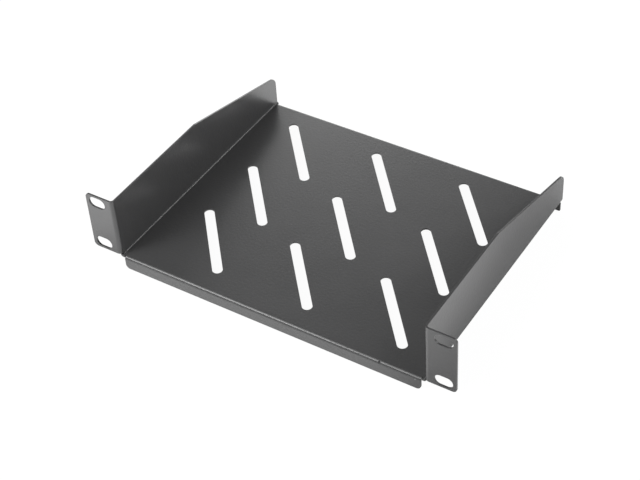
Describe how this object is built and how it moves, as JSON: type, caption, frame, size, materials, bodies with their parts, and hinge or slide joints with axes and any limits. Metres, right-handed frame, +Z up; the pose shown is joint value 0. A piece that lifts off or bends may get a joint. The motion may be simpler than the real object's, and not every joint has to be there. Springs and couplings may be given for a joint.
{
  "type": "rack shelf",
  "caption": "Low vented shelf for a ten-inch rack, folded from one steel sheet, with side walls, slotted ears and folded-down lips.",
  "frame": {"origin": "middle of the four rack slots, on the back face of the ears, where they meet the rack rails", "axes": "+X across the rack to the right seen from the front, +Y from the panel to the rear, +Z up"},
  "size_m": [0.253, 0.1755, 0.0515],
  "materials": {
    "black_powder_coat": "fine-textured matt black powder coat"
  },
  "bodies": {
    "root": {"folded_shelf": "black_powder_coat"}
  },
  "joints": []
}
